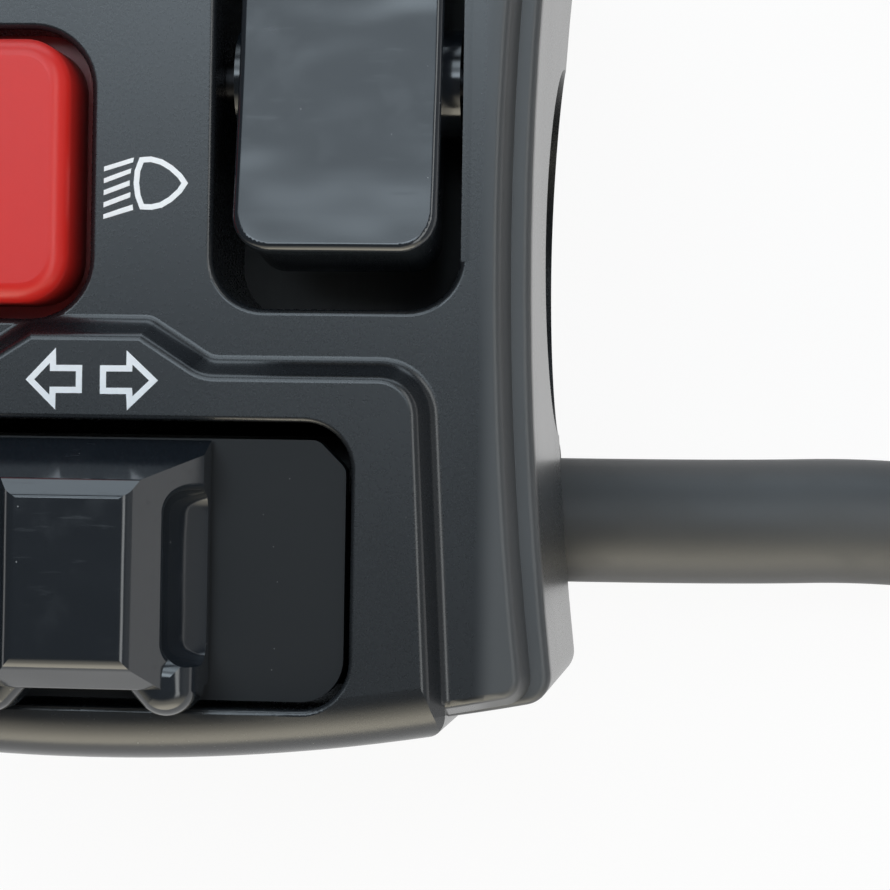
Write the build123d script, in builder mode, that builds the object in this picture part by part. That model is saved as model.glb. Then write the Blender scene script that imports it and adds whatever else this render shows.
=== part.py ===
from build123d import *
from math import cos, hypot, pi, radians, sin, sqrt, tan
import os

os.makedirs("parts", exist_ok=True)

# A left-hand handlebar switch cluster, lying on its back with its face up.
# The handlebar runs along X through the origin, Y points up the face and Z out of it.
# All lengths are in millimetres.

# Handlebar and the saddle round it
bar_diameter = 22.2
clamp_gap = 0.05
tunnel_wall = 2.0
bore_radius = bar_diameter / 2 + clamp_gap
tunnel_radius = bore_radius + tunnel_wall

# Fits, gaps between neighbours, the overrun of every cut and the reach of a selector
pin_fit = 0.04
seat_gap = 0.05
slide_gap = 0.3
overrun = 1.0
reach = 0.01

# Housing outline: its sides draw in to a waist, its top and bottom edges bow out
waist_half_width = 22.55
end_half_width = 24.1
upper_corner_y = 24.2
lower_corner_y = -25.5
top_bow = 1.4
bottom_bow = 2.5
corner_radius = 1.5
shell_wall = 2.2

# Front shell: shoulder, plateau and the raised turn-signal panel
shoulder_z = 23.5
face_z = 25.5
panel_z = 27.0
shoulder_width = 1.05
step_slope = 14.0
edge_round = 0.45
face_wall = 2.5

panel_x = -0.6
panel_top_y = -7.75
panel_upper_half_width = 18.1
panel_lower_half_width = 19.2
panel_slope = 28.0
panel_corner_radius = 2.8
panel_edge_round = 0.5
panel_foot_round = 0.6
bump_x = -0.77
bump_rise = 2.1
bump_half_width = 3.2
bump_foot_run = 3.3
bump_corner_radius = 0.8
bump_foot_radius = 1.5

# The belly below the panel: a bowed lower edge with a large soft round
belly_bottom_y = -29.05
belly_bow_radius = 110.0
belly_round = 2.8
belly_back_z = 8.0
belly_corner_radius = 1.2

# Rear shell
rear_depth = 18.0
rear_side_draft = 1.7
rear_end_draft = 1.2
rear_edge_round = 1.2
rear_floor = 2.4

# Red push button, its guide in the shell and the plate under it
button_x = -8.4
button_y = 2.2
button_width = 13.4
button_height = 14.0
button_corner = 2.5
button_top_z = 28.0
button_round = 1.0
button_wall = 1.5
button_travel = 2.4
button_lip_gap = 0.75
button_guide_gap = 0.3
button_flange = 0.9
button_flange_thickness = 1.2
button_lip_play = 0.15
button_post_diameter = 4.4
button_guide_wall = 1.2
button_base_z = 13.7
button_base_thickness = 1.7
button_contact_diameter = 5.4
button_contact_thickness = 0.5
button_rivet_diameter = 1.7
button_rivet_pitch = 3.2
button_rivet_rise = 0.35
button_strip_width = 2.2
button_strip_thickness = 0.7
contact_play = 0.1
button_spring_wire = 0.7
button_spring_diameter = 7.4
button_spring_turns = 6

# Dip-beam rocker, shown with its lower end proud
rocker_x = 12.55
rocker_y = 7.65
rocker_pivot_z = 21.0
rocker_width = 10.8
rocker_length = 21.2
rocker_corner = 2.0
rocker_tilt = 8.0
rocker_rim_height = 6.15
rocker_dish = 0.55
rocker_depth = 1.0
rocker_lip = 0.35
rocker_lip_height = 1.0
rocker_wall = 1.5
rocker_edge_round = 0.4
rocker_core_length = 6.4
rocker_core_depth = 2.0
rocker_hub_radius = 2.9
rocker_hub_half_width = 6.1
rocker_pin_diameter = 2.2
rocker_pin_inner_x = 3.0
plunger_diameter = 3.0
plunger_centre_depth = 3.0
plunger_length = 3.6
plunger_seat_height = 3.9
plunger_fit = 0.08
plunger_spring_wire = 0.35
plunger_spring_diameter = 2.6
plunger_spring_turns = 3

# The rocker's well, with a thin ledge along its right-hand edge
well_x = 12.33
well_width = 13.25
well_lower_y = -4.9
well_upper_y = 21.6
well_corner = 2.8
well_lip_round = 0.35
well_wall = 1.5
ledge_width = 0.5
ledge_depth = 0.5
ledge_end_y = -2.3

# See-saw contact and the plate that carries its terminals
seesaw_gap = 0.13
seesaw_thickness = 0.6
seesaw_length = 12.0
seesaw_width = 4.2
seesaw_tilt = 5.0
dimmer_base_thickness = 1.7
dimmer_base_drop = 0.75
dimmer_base_side_gap = 0.35
terminal_length = 2.4
terminal_tail = 1.6

# Turn-signal slot and the plate set into it
slot_x = -0.35
slot_width = 27.8
slot_lower_y = -26.1
slot_upper_y = -10.9
slot_corner = 2.6
slot_lip_round = 0.25
plate_top_z = 26.0
plate_thickness = 1.4
plate_side_gap = 0.4
plate_lower_gap = 0.4
plate_upper_gap = 0.95
plate_corner = 2.3
plate_chamfer = 1.5
plate_clip_round = 0.8
plate_leg_thickness = 1.6
plate_leg_length = 7.5
turn_travel = 4.0

# Turn-signal knob: a block with sloping flanks, a scoop each side and two lobes at its foot
knob_x = -0.25
knob_lift = 0.3
knob_half_width = 6.25
knob_skirt_height = 2.2
knob_top_z = 33.0
knob_front_half_width = 3.1
knob_shoulder_half_width = 4.2
knob_shoulder_drop = 1.6
knob_upper_y = -11.95
knob_lower_y = -24.8
knob_front_upper_y = -14.9
knob_front_lower_y = -23.6
knob_bevel_drop = 0.8
knob_bevel_run = 0.85
knob_chin_drop = 2.4
knob_chin_run = 0.15
knob_edge_round = 0.8
knob_shoulder_round = 0.9
knob_bevel_round = 0.35
knob_chin_round = 0.9
lobe_inner_x = 2.7
lobe_slant_x = 3.6
lobe_middle_x = 4.8
lobe_upper_y = -23.0
lobe_slant_y = -25.9
lobe_lower_y = -26.28
lobe_side_y = -25.0
lobe_under_z = 27.5
lobe_top_z = 30.8
lobe_round = 1.2
scoop_radius = 3.3
scoop_x = 7.8
scoop_z = 30.0
scoop_upper_y = -14.5
scoop_lower_y = -23.7
scoop_end_round = 1.3
scoop_rim_round = 0.4
stem_y = -18.4
stem_width = 3.6
stem_height = 4.2

# Slider below the plate, its click ball, contact and base board
carriage_width = 13.0
carriage_upper_y = -12.6
carriage_lower_y = -24.3
ball_diameter = 2.4
ball_offset_x = 3.8
ball_y = -14.4
ball_entry = 0.4
ball_clear = 0.12
ball_notch = 0.2
ball_pocket_gap = 0.1
ball_spring_space = 2.4
ball_spring_wire = 0.4
ball_spring_diameter = 2.1
ball_spring_turns = 3
turn_contact_y = -22.3
turn_contact_width = 2.6
turn_contact_thickness = 0.6
turn_contact_recess = 1.1
dome_offset = 3.9
dome_radius = 0.9
turn_base_z = 15.0
turn_base_thickness = 1.8
turn_base_width = 37.4
turn_base_upper_y = -11.6
turn_base_lower_y = -23.8
turn_strip_width = 2.6
turn_strip_upper_y = -14.0
turn_strip_thickness = 0.6

# Screws
clamp_screw_y = 17.9
clamp_screw_diameter = 5.0
clamp_head_diameter = 7.8
clamp_head_height = 3.2
clamp_head_gap = 0.25
clamp_hole_gap = 0.25
clamp_seat_depth = 6.0
clamp_screw_reach = 8.0
clamp_boss_wall = 1.1
front_boss_radius = 4.1
front_boss_height = 13.2
rib_thickness = 2.2
insert_diameter = 6.4
insert_length = 9.0
insert_hole_depth = 9.6
base_screw_diameter = 1.8
base_screw_length = 6.0
base_head_diameter = 3.4
base_head_height = 1.1
base_boss_radius = 1.8
base_tab_radius = 1.9
knob_screw_diameter = 2.2
knob_screw_reach = 11.0
knob_head_diameter = 4.2
knob_head_height = 1.6
knob_head_recess = 1.9
recess_arm_share = 0.55
recess_width_share = 0.28
recess_depth_share = 0.6

# Where the small screws go through the base plates
button_screws = [(2.3, -2.5), (-18.5, 2.2)]
dimmer_screws = [(2.6, 3.2), (12.33, -8.0)]
turn_screws = [(16.2, -14.5), (-16.9, -14.5)]

# Cable, grommet, tie and connector
cable_diameter = 7.9
cable_y = -16.45
cable_z = -8.5
cable_exit_x = 22.3
cable_inner_x = 11.0
grommet_wall = 1.0
grommet_flange = 1.5
grommet_flange_thickness = 1.0
flange_outer_x = 19.4
flange_clear = 0.3
tie_x = 13.8
tie_width = 3.0
tie_thickness = 0.9
tie_head_size = 4.2
tie_head_height = 1.7
coil_start_x = 90.0
coil_start_y = -24.0
coil_radius = 44.0
coil_gap = 0.5
coil_tail_radius = 27.0
coil_tail_turn = 150.0
boot_length = 8.0
boot_radius = 4.8
connector_length = 16.0
connector_width = 14.0
connector_height = 11.0
connector_corner = 1.0
connector_wall = 1.3
connector_cavity_depth = 9.5
latch_width = 5.0
latch_height = 1.4
latch_length = 9.0
pin_diameter = 1.3
pin_length = 8.0
pin_pitch = 3.4
pin_columns = 3
pin_rows = 2

# Heights and places worked out from the sizes above
housing_bottom_y = lower_corner_y - bottom_bow
ceiling_z = face_z - face_wall
button_base_top_z = button_base_z + button_base_thickness
button_flange_top_z = ceiling_z - button_lip_play
button_ceiling_z = button_top_z - button_wall
button_contact_z = button_base_top_z + button_rivet_rise + contact_play + button_travel
button_pocket_width = button_width + 2 * (button_flange + button_guide_gap)
button_pocket_height = button_height + 2 * (button_flange + button_guide_gap)
well_y = (well_lower_y + well_upper_y) / 2
well_height = well_upper_y - well_lower_y
well_right_x = well_x + well_width / 2
seesaw_top_z = rocker_pivot_z - plunger_centre_depth - plunger_diameter / 2 - seesaw_gap
seesaw_under_z = seesaw_top_z - seesaw_thickness
dimmer_base_top_z = seesaw_under_z - dimmer_base_drop
dimmer_base_z = dimmer_base_top_z - dimmer_base_thickness
dimmer_base_upper_y = upper_corner_y - shell_wall - slide_gap
slot_y = (slot_lower_y + slot_upper_y) / 2
slot_height = slot_upper_y - slot_lower_y
plate_under_z = plate_top_z - plate_thickness
turn_base_top_z = turn_base_z + turn_base_thickness
knob_base_z = plate_top_z + knob_lift
knob_shoulder_z = knob_top_z - knob_shoulder_drop
carriage_top_z = plate_under_z - slide_gap
carriage_z = turn_base_top_z + slide_gap
ball_z = plate_under_z + ball_entry - ball_diameter / 2
clamp_seat_z = clamp_seat_depth - rear_depth
cable_floor_z = cable_diameter / 2 - rear_depth

# Route of the free cable, from the grommet to the start of the coil, chosen by hand
cable_route = [
    (cable_exit_x, cable_y, cable_z),
    (33.0, cable_y, cable_z),
    (43.0, -16.1, -9.6),
    (53.0, -17.3, -11.6),
    (63.0, -20.3, -13.3),
    (73.0, -23.1, cable_floor_z),
    (82.0, coil_start_y, cable_floor_z),
    (coil_start_x, coil_start_y, cable_floor_z),
]


def outline(side_inset, end_inset):
    """The housing seen from the front, drawn in at its sides and at its top and bottom."""
    ends = end_half_width - side_inset
    waist = waist_half_width - side_inset
    upper, lower = upper_corner_y - end_inset, lower_corner_y + end_inset
    waist_y = (upper + lower) / 2
    with BuildSketch() as shape:
        with BuildLine():
            ThreePointArc((ends, lower), (waist, waist_y), (ends, upper))
            ThreePointArc((ends, upper), (0, upper + top_bow), (-ends, upper))
            ThreePointArc((-ends, upper), (-waist, waist_y), (-ends, lower))
            ThreePointArc((-ends, lower), (0, lower - bottom_bow), (ends, lower))
        make_face()
        fillet(shape.vertices(), corner_radius)
    return shape.sketch


def panel_outline():
    """The foot of the raised panel, with the bump for the arrows and the bowed lower edge."""
    upper, lower = panel_upper_half_width, panel_lower_half_width
    low_y = belly_bottom_y + belly_bow_radius - sqrt(belly_bow_radius**2 - lower**2)
    bump_y = panel_top_y + bump_rise
    foot = bump_half_width + bump_foot_run
    with BuildSketch() as shape:
        with BuildLine():
            Polyline(
                (panel_x + lower, low_y),
                (panel_x + upper, panel_top_y),
                (bump_x + foot, panel_top_y),
                (bump_x + bump_half_width, bump_y),
                (bump_x - bump_half_width, bump_y),
                (bump_x - foot, panel_top_y),
                (panel_x - upper, panel_top_y),
                (panel_x - lower, low_y),
            )
            ThreePointArc(
                (panel_x - lower, low_y), (panel_x, belly_bottom_y), (panel_x + lower, low_y)
            )
        make_face()
        fillet(shape.vertices().group_by(Axis.Y)[-1], bump_corner_radius)
        fillet(shape.vertices().group_by(Axis.Y)[0], belly_corner_radius)
        upper_row = shape.vertices().group_by(Axis.Y)[2].sort_by(Axis.X)
        fillet([upper_row[0], upper_row[-1]], panel_corner_radius)
        upper_row = shape.vertices().filter_by_position(
            Axis.Y, panel_top_y - reach, panel_top_y + reach
        )
        fillet(upper_row.sort_by(Axis.X)[1:3], bump_foot_radius)
    return shape.sketch


def rim(edges_list, z, x, y, width, height):
    """The edges at the height z whose middles lie in a rectangle round (x, y)."""
    level = edges_list.filter_by_position(Axis.Z, z - reach, z + reach)
    column = level.filter_by_position(Axis.X, x - width / 2 - reach, x + width / 2 + reach)
    return column.filter_by_position(Axis.Y, y - height / 2 - reach, y + height / 2 + reach)


def cross_screw(seat_z, diameter, length, head_diameter, head_height):
    """A cross-head screw at each current location: its head below seat_z, its shank above."""
    arm = head_diameter * recess_arm_share
    width = arm * recess_width_share
    with Locations((0, 0, seat_z)):
        Cylinder(diameter / 2, length, align=(Align.CENTER, Align.CENTER, Align.MIN))
        Cylinder(head_diameter / 2, head_height, align=(Align.CENTER, Align.CENTER, Align.MAX))
    with Locations((0, 0, seat_z - head_height)):
        for size in ((arm, width), (width, arm)):
            Box(
                *size,
                head_height * recess_depth_share,
                align=(Align.CENTER, Align.CENTER, Align.MIN),
                mode=Mode.SUBTRACT,
            )


def spring(base, outer_diameter, wire, turns, height):
    """A round-wire spring that stands on the plane base, with the gap in its coils printed."""
    rise = height - wire
    with BuildPart() as coil:
        with BuildLine(base.offset(wire / 2)) as path:
            Helix(rise / turns, rise, (outer_diameter - wire) / 2, direction=base.z_dir)
        with BuildSketch(Plane(path.line @ 0, z_dir=path.line % 0)):
            Circle(wire / 2)
        sweep()
    print("spring coil gap", round(rise / turns - wire, 2))
    return coil.part


def least_gap(path, diameter):
    """The least gap between stretches of a cable that lie three diameters apart along it."""
    count = int(path.length / diameter * 2)
    points = [path @ (i / count) for i in range(count + 1)]
    gaps = [
        (points[i] - points[j]).length - diameter
        for i in range(len(points))
        for j in range(i + 6, len(points))
    ]
    return min(gaps)


# Front shell, outer form: body, plateau, belly and panel
with BuildPart() as front_shell:
    with BuildSketch(Plane.XY):
        add(outline(0, 0))
    extrude(amount=shoulder_z)
    fillet(edges().group_by(Axis.Z)[-1], edge_round)
    with BuildSketch(Plane.XY.offset(shoulder_z)):
        add(outline(shoulder_width, 0))
    extrude(amount=face_z - shoulder_z, taper=step_slope)
    fillet(edges().group_by(Axis.Z)[-1], edge_round)
    with BuildSketch(Plane.XY.offset(belly_back_z)):
        add(panel_outline())
    extrude(amount=face_z - belly_back_z)
    with BuildSketch(Plane.XY.offset(face_z)):
        add(panel_outline())
    extrude(amount=panel_z - face_z, taper=panel_slope)
    fillet(edges().group_by(Axis.Z)[-1], panel_edge_round)
    foot = edges().filter_by_position(Axis.Z, face_z - reach, face_z + reach)
    fillet(foot.filter_by_position(Axis.Y, slot_y, 0), panel_foot_round)
    with BuildSketch(Plane.YZ.offset(panel_x)):
        soft_y, soft_z = belly_bottom_y + belly_round, panel_z - belly_round
        middle = belly_round * sin(radians(45))
        with BuildLine():
            Polyline(
                (soft_y, panel_z),
                (soft_y, panel_z + overrun),
                (belly_bottom_y - overrun, panel_z + overrun),
                (belly_bottom_y - overrun, soft_z),
                (belly_bottom_y, soft_z),
            )
            ThreePointArc(
                (belly_bottom_y, soft_z), (soft_y - middle, soft_z + middle), (soft_y, panel_z)
            )
        make_face()
    bow_axis = Axis((panel_x, belly_bottom_y + belly_bow_radius, 0), (0, 0, 1))
    revolve(axis=bow_axis, mode=Mode.SUBTRACT)

    # The hollow and the half tunnel that keeps the handlebar apart from it
    with BuildSketch(Plane.XY):
        add(outline(shell_wall, shell_wall))
    extrude(amount=ceiling_z, mode=Mode.SUBTRACT)
    with BuildSketch(Plane.YZ):
        Circle(tunnel_radius)
        Rectangle(
            2 * tunnel_radius, tunnel_radius, align=(Align.CENTER, Align.MAX), mode=Mode.SUBTRACT
        )
    extrude(amount=waist_half_width - shell_wall / 2, both=True)

    # Guides for the button and the rocker, and bosses for the screws
    with BuildSketch(Plane.XY.offset(button_base_top_z)):
        with Locations((button_x, button_y)):
            RectangleRounded(
                button_pocket_width + 2 * button_guide_wall,
                button_pocket_height + 2 * button_guide_wall,
                button_corner + button_guide_wall,
            )
        with Locations(*button_screws):
            Circle(base_boss_radius)
    extrude(amount=ceiling_z - button_base_top_z)
    with BuildSketch(Plane.XY.offset(dimmer_base_top_z)):
        with Locations((well_x, well_y)):
            RectangleRounded(
                well_width + 2 * well_wall, well_height + 2 * well_wall, well_corner + well_wall
            )
        with Locations(*dimmer_screws):
            Circle(base_boss_radius)
    extrude(amount=ceiling_z - dimmer_base_top_z)
    with BuildSketch(Plane.XY.offset(turn_base_top_z)):
        with Locations(*turn_screws):
            Circle(base_boss_radius)
    extrude(amount=ceiling_z - turn_base_top_z)
    with BuildSketch(Plane.XY):
        with Locations((0, clamp_screw_y)):
            Circle(front_boss_radius)
    extrude(amount=ceiling_z)
    with BuildSketch(Plane.XY):
        with Locations((0, -clamp_screw_y)):
            Circle(front_boss_radius)
        with Locations((0, -bore_radius - tunnel_wall / 2)):
            Rectangle(
                rib_thickness,
                -housing_bottom_y - shell_wall / 2 - bore_radius - tunnel_wall / 2,
                align=(Align.CENTER, Align.MAX),
            )
    extrude(amount=front_boss_height)

    # Everything that is cut through: bore, pockets, slot, screw holes and pin holes
    with BuildSketch(Plane.YZ):
        Circle(bore_radius)
    extrude(amount=end_half_width + overrun, both=True, mode=Mode.SUBTRACT)
    with BuildSketch(Plane.XY.offset(button_base_top_z)):
        with Locations((button_x, button_y)):
            RectangleRounded(button_pocket_width, button_pocket_height, button_corner)
    extrude(amount=ceiling_z - button_base_top_z, mode=Mode.SUBTRACT)
    with BuildSketch(Plane.XY.offset(ceiling_z)):
        with Locations((button_x, button_y)):
            RectangleRounded(
                button_width + 2 * button_lip_gap,
                button_height + 2 * button_lip_gap,
                button_corner + button_lip_gap,
            )
    extrude(amount=face_wall + overrun, mode=Mode.SUBTRACT)
    with BuildSketch(Plane.XY.offset(dimmer_base_top_z)):
        with Locations((well_x, well_y)):
            RectangleRounded(well_width, well_height, well_corner)
    extrude(amount=face_z + overrun - dimmer_base_top_z, mode=Mode.SUBTRACT)
    with BuildSketch(Plane.XY.offset(ceiling_z - overrun)):
        with Locations((slot_x, slot_y)):
            RectangleRounded(slot_width, slot_height, slot_corner)
    extrude(amount=panel_z - ceiling_z + 2 * overrun, mode=Mode.SUBTRACT)
    fillet(rim(edges(), face_z, well_x, well_y, well_width, well_height), well_lip_round)
    fillet(
        rim(
            edges(),
            face_z,
            button_x,
            button_y,
            button_width + 2 * button_lip_gap,
            button_height + 2 * button_lip_gap,
        ),
        well_lip_round,
    )
    fillet(rim(edges(), panel_z, slot_x, slot_upper_y, slot_width, slot_height), slot_lip_round)
    with Locations((well_right_x, ledge_end_y, face_z)):
        Box(
            ledge_width,
            well_upper_y - well_corner - ledge_end_y,
            2 * ledge_depth,
            align=(Align.MIN, Align.MIN, Align.CENTER),
            mode=Mode.SUBTRACT,
        )
    with Locations((0, clamp_screw_y, 0), (0, -clamp_screw_y, 0)):
        Cylinder(
            insert_diameter / 2 + seat_gap,
            insert_hole_depth,
            align=(Align.CENTER, Align.CENTER, Align.MIN),
            mode=Mode.SUBTRACT,
        )
    for places, top_z in (
        (button_screws, button_base_top_z),
        (dimmer_screws, dimmer_base_top_z),
        (turn_screws, turn_base_top_z),
    ):
        with Locations(*[(x, y, top_z) for x, y in places]):
            Cylinder(
                base_screw_diameter / 2 + pin_fit,
                base_screw_length,
                align=(Align.CENTER, Align.CENTER, Align.MIN),
                mode=Mode.SUBTRACT,
            )
    with Locations((well_x, rocker_y, rocker_pivot_z)):
        Cylinder(
            rocker_pin_diameter / 2 + pin_fit,
            well_width + 2 * well_wall + 2 * seat_gap,
            rotation=(0, 90, 0),
            mode=Mode.SUBTRACT,
        )

front_shell.part.label = "front_shell"
export_step(front_shell.part, "parts/front_shell.step")

# Rear shell: drafted sides, flat back, half tunnel, screw bosses and the cable hole
with BuildPart() as rear_shell:
    with BuildSketch(Plane.XY.offset(-rear_depth)):
        add(outline(rear_side_draft, rear_end_draft))
    with BuildSketch(Plane.XY):
        add(outline(0, 0))
    loft()
    fillet(edges().group_by(Axis.Z)[0], rear_edge_round)
    inner_share = 1 - rear_floor / rear_depth
    with BuildSketch(Plane.XY.offset(rear_floor - rear_depth)):
        add(
            outline(
                shell_wall + rear_side_draft * inner_share,
                shell_wall + rear_end_draft * inner_share,
            )
        )
    with BuildSketch(Plane.XY):
        add(outline(shell_wall, shell_wall))
    loft(mode=Mode.SUBTRACT)
    with BuildSketch(Plane.YZ):
        Circle(tunnel_radius)
        Rectangle(
            2 * tunnel_radius, tunnel_radius, align=(Align.CENTER, Align.MIN), mode=Mode.SUBTRACT
        )
    extrude(amount=waist_half_width - shell_wall, both=True)
    boss_radius = clamp_head_diameter / 2 + clamp_head_gap + clamp_boss_wall
    with BuildSketch(Plane.XY):
        with Locations((0, clamp_screw_y), (0, -clamp_screw_y)):
            Circle(boss_radius)
    extrude(amount=-rear_depth)
    with BuildSketch(Plane.YZ):
        Circle(bore_radius)
    extrude(amount=end_half_width + overrun, both=True, mode=Mode.SUBTRACT)
    with Locations((0, clamp_screw_y, -rear_depth), (0, -clamp_screw_y, -rear_depth)):
        Cylinder(
            clamp_screw_diameter / 2 + clamp_hole_gap,
            rear_depth,
            align=(Align.CENTER, Align.CENTER, Align.MIN),
            mode=Mode.SUBTRACT,
        )
        Cylinder(
            clamp_head_diameter / 2 + clamp_head_gap,
            clamp_seat_depth,
            align=(Align.CENTER, Align.CENTER, Align.MIN),
            mode=Mode.SUBTRACT,
        )
    with Locations((flange_outer_x, cable_y, cable_z)):
        Cylinder(
            cable_diameter / 2 + grommet_wall + seat_gap,
            end_half_width - flange_outer_x + overrun,
            rotation=(0, 90, 0),
            align=(Align.CENTER, Align.CENTER, Align.MIN),
            mode=Mode.SUBTRACT,
        )

rear_shell.part.label = "rear_shell"
export_step(rear_shell.part, "parts/rear_shell.step")

# Screws that pull the halves together, and the brass inserts they run into
with BuildPart() as clamp_screws:
    with Locations((0, clamp_screw_y), (0, -clamp_screw_y)):
        cross_screw(
            clamp_seat_z,
            clamp_screw_diameter,
            clamp_screw_reach - clamp_seat_z,
            clamp_head_diameter,
            clamp_head_height,
        )

clamp_screws.part.label = "clamp_screws"
export_step(clamp_screws.part, "parts/clamp_screws.step")

with BuildPart() as clamp_inserts:
    with BuildSketch(Plane.XY.offset(seat_gap)):
        with Locations((0, clamp_screw_y), (0, -clamp_screw_y)):
            Circle(insert_diameter / 2)
            Circle(clamp_screw_diameter / 2 + pin_fit, mode=Mode.SUBTRACT)
    extrude(amount=insert_length)

clamp_inserts.part.label = "clamp_inserts"
export_step(clamp_inserts.part, "parts/clamp_inserts.step")

# Red button: a hollow cap with a flange below the lip and a post in its middle
with BuildPart() as red_button:
    with BuildSketch(Plane.XY.offset(button_flange_top_z - button_flange_thickness)):
        with Locations((button_x, button_y)):
            RectangleRounded(
                button_width + 2 * button_flange,
                button_height + 2 * button_flange,
                button_corner,
            )
    extrude(amount=button_flange_thickness)
    with BuildSketch(Plane.XY.offset(button_flange_top_z)):
        with Locations((button_x, button_y)):
            RectangleRounded(button_width, button_height, button_corner)
    extrude(amount=button_top_z - button_flange_top_z)
    fillet(edges().group_by(Axis.Z)[-1], button_round)
    with BuildSketch(Plane.XY.offset(button_flange_top_z - button_flange_thickness)):
        with Locations((button_x, button_y)):
            RectangleRounded(
                button_width - 2 * button_wall, button_height - 2 * button_wall, button_wall
            )
    extrude(amount=button_ceiling_z - button_flange_top_z + button_flange_thickness, mode=Mode.SUBTRACT)
    with Locations((button_x, button_y, button_ceiling_z)):
        Cylinder(
            button_post_diameter / 2,
            button_ceiling_z - button_contact_z - button_contact_thickness,
            align=(Align.CENTER, Align.CENTER, Align.MAX),
        )

red_button.part.label = "red_button"
export_step(red_button.part, "parts/red_button.step")

with BuildPart() as button_contact:
    with Locations((button_x, button_y, button_contact_z)):
        Cylinder(
            button_contact_diameter / 2,
            button_contact_thickness,
            align=(Align.CENTER, Align.CENTER, Align.MIN),
        )

button_contact.part.label = "button_contact"
export_step(button_contact.part, "parts/button_contact.step")

button_spring = spring(
    Plane((button_x, button_y, button_base_top_z + seat_gap)),
    button_spring_diameter,
    button_spring_wire,
    button_spring_turns,
    button_ceiling_z - button_base_top_z - 2 * seat_gap,
)
button_spring.label = "button_spring"
export_step(button_spring, "parts/button_spring.step")

# Plate under the button, with two strips let into its underside
strip_reach = button_pocket_height / 2 + button_guide_wall
with BuildPart() as button_base:
    with BuildSketch(Plane.XY.offset(button_base_z)):
        with Locations((button_x, button_y)):
            RectangleRounded(
                button_pocket_width + 2 * button_guide_wall,
                2 * strip_reach,
                button_corner,
            )
        for x, y in button_screws:
            inner_x = button_x + (x - button_x) / 2
            with Locations(((x + inner_x) / 2, y)):
                Rectangle(abs(x - inner_x), 2 * base_tab_radius)
            with Locations((x, y)):
                Circle(base_boss_radius)
    extrude(amount=button_base_thickness)
    with Locations(*[(x, y, button_base_z) for x, y in button_screws]):
        Cylinder(
            base_screw_diameter / 2 + pin_fit,
            button_base_thickness,
            align=(Align.CENTER, Align.CENTER, Align.MIN),
            mode=Mode.SUBTRACT,
        )
        Cylinder(
            base_head_diameter / 2 + seat_gap,
            base_head_height,
            align=(Align.CENTER, Align.CENTER, Align.MIN),
            mode=Mode.SUBTRACT,
        )
    for side in (-1, 1):
        rivet_x = button_x + side * button_rivet_pitch / 2
        with Locations((rivet_x, button_y + button_strip_width / 2, button_base_z)):
            Box(
                button_strip_width,
                strip_reach + button_strip_width / 2,
                button_strip_thickness,
                align=(Align.CENTER, Align.MAX, Align.MIN),
                mode=Mode.SUBTRACT,
            )
        with Locations((rivet_x, button_y, button_base_z)):
            Cylinder(
                button_rivet_diameter / 2,
                button_base_thickness,
                align=(Align.CENTER, Align.CENTER, Align.MIN),
                mode=Mode.SUBTRACT,
            )

button_base.part.label = "button_base"
export_step(button_base.part, "parts/button_base.step")

with BuildPart() as button_terminals:
    for side in (-1, 1):
        rivet_x = button_x + side * button_rivet_pitch / 2
        with Locations((rivet_x, button_y + button_strip_width / 2, button_base_z)):
            Box(
                button_strip_width,
                strip_reach + button_strip_width / 2,
                button_strip_thickness,
                align=(Align.CENTER, Align.MAX, Align.MIN),
            )
        with Locations((rivet_x, button_y, button_base_z)):
            Cylinder(
                button_rivet_diameter / 2,
                button_base_thickness + button_rivet_rise,
                align=(Align.CENTER, Align.CENTER, Align.MIN),
            )

button_terminals.part.label = "button_terminals"
export_step(button_terminals.part, "parts/button_terminals.step")

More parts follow.
